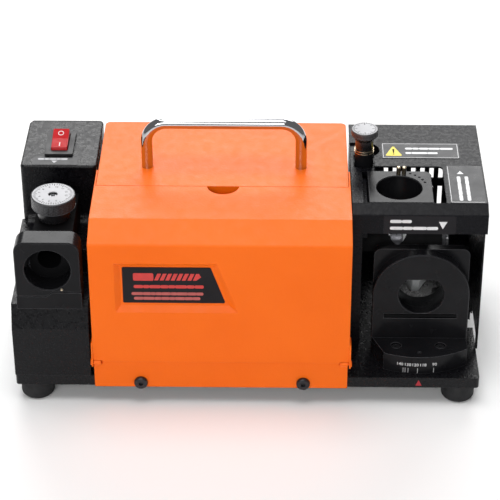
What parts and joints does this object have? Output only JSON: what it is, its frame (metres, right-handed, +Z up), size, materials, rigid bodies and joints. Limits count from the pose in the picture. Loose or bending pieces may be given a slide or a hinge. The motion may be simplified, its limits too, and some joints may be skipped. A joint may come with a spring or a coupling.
{
  "type": "drill bit sharpener",
  "caption": "Bench drill bit sharpener with a setting gauge, a storage door, a carry handle, a swivelling point-angle head and a splitting station.",
  "frame": {"origin": "middle of the footprint's bounding box, on the surface that the feet stand on", "axes": "+X to the operator's right along the machine's length, +Y away from the operator, +Z up"},
  "size_m": [0.3222, 0.158, 0.1775],
  "materials": {
    "black_casting": "wrinkle coat",
    "black_sheet": "wrinkle coat",
    "black_anodised": "satin black anodised",
    "orange_sheet": "fine powder coat",
    "rubber": "matte",
    "chrome": "polished",
    "steel": "ground",
    "black_steel": "black oxide",
    "brass": "satin",
    "white_face": "satin",
    "red_plastic": "gloss",
    "black_plastic": "satin",
    "board": "satin",
    "motor_paint": "satin",
    "iron": "machined",
    "wheel_hub": "machined",
    "abrasive": "gritty"
  },
  "bodies": {
    "base": {"base_plate": "black_casting", "feet": "rubber", "foot_screws": "steel", "left_casting": "black_casting", "rear_cover": "black_sheet", "rear_cover_screws": "steel", "power_inlet": "black_plastic", "fuse_holder": "black_plastic", "control_board": "board", "switch_bezel": "black_plastic", "gauge_base": "black_anodised", "gauge_block": "black_anodised", "gauge_pin": "brass", "dial_body": "black_anodised", "housing_shell": "orange_sheet", "storage_liner": "orange_sheet", "front_strip": "orange_sheet", "strip_screws": "black_steel", "door_pins": "orange_sheet", "collet_tray": "black_plastic", "collets": "steel", "carry_handle": "chrome", "handle_screws": "steel", "motor_can": "motor_paint", "motor_end_left": "motor_paint", "motor_end_right": "motor_paint", "motor_bracket": "motor_paint", "brush_caps": "black_plastic", "bearings": "steel", "bay_partition": "black_sheet", "bay_right_wall": "black_sheet", "bay_rear_panel": "black_sheet", "wheel_guard": "black_sheet", "splitting_guide": "black_sheet", "dial_bracket": "black_sheet", "fine_dial_bush": "black_anodised", "fine_dial_ring": "brass", "swivel_pivot": "steel"},
    "rocker": {"switch_rocker": "red_plastic"},
    "setting_dial": {"setting_dial": "black_anodised", "setting_dial_face": "white_face", "setting_dial_screw": "steel"},
    "setting_stop": {"setting_stop": "steel"},
    "door": {"storage_door": "orange_sheet"},
    "swivel": {"swivel_base": "black_anodised", "swivel_screws": "black_steel", "head_arch_plate": "black_anodised", "head_back_plate": "black_anodised", "head_key": "black_anodised"},
    "spindle": {"spindle_shaft": "steel", "armature": "iron", "wheel_hub": "wheel_hub", "grinding_wheel": "abrasive", "wheel_nut": "black_steel"},
    "cover": {"top_cover": "black_sheet"},
    "splitting": {"splitting_block": "black_anodised", "splitting_pins": "brass"},
    "fine_dial": {"fine_dial": "black_anodised", "fine_dial_face": "white_face"}
  },
  "joints": [
    {"name": "switch_rock", "type": "hinge", "parent": "base", "child": "rocker", "pos_m": [-0.13445, 0.0401, 0.14], "axis": [-1, 0, 0], "range_deg": [0, 22]},
    {"name": "setting_turn", "type": "hinge", "parent": "base", "child": "setting_dial", "pos_m": [-0.13415, -0.0214, 0.127], "axis": [0, 0, 1], "range_deg": [0, 300]},
    {"name": "setting_stop_slide", "type": "slide", "parent": "base", "child": "setting_stop", "axis": [0, -1, 0], "range_m": [0, 0.005]},
    {"name": "door_hinge", "type": "hinge", "parent": "base", "child": "door", "pos_m": [-0.01885, -0.0756, 0.0346], "axis": [1, 0, 0], "range_deg": [0, 100]},
    {"name": "head_swivel", "type": "hinge", "parent": "base", "child": "swivel", "pos_m": [0.11705, -0.0116, 0.026], "axis": [0, 0, 1], "range_deg": [-11, 11]},
    {"name": "spindle_spin", "type": "hinge", "parent": "base", "child": "spindle", "pos_m": [0.02885, 0.0176, 0.078], "axis": [1, 0, 0], "continuous": true},
    {"name": "cover_slide", "type": "slide", "parent": "base", "child": "cover", "axis": [0, -1, 0], "range_m": [0, 0.006]},
    {"name": "fine_turn", "type": "hinge", "parent": "base", "child": "fine_dial", "pos_m": [0.07895, 0.0236, 0.154], "axis": [0, 0, 1], "range_deg": [-180, 180]},
    {"name": "splitting_lift", "type": "slide", "parent": "base", "child": "splitting", "axis": [0, 0, 1], "range_m": [-0.0005, 0.0005]}
  ],
  "couplings": [
    {"joint": "setting_stop_slide", "follows": "setting_turn", "m_per_rad": 0.00095493},
    {"joint": "fine_turn", "follows": "splitting_lift", "rad_per_m": 6283.2}
  ]
}
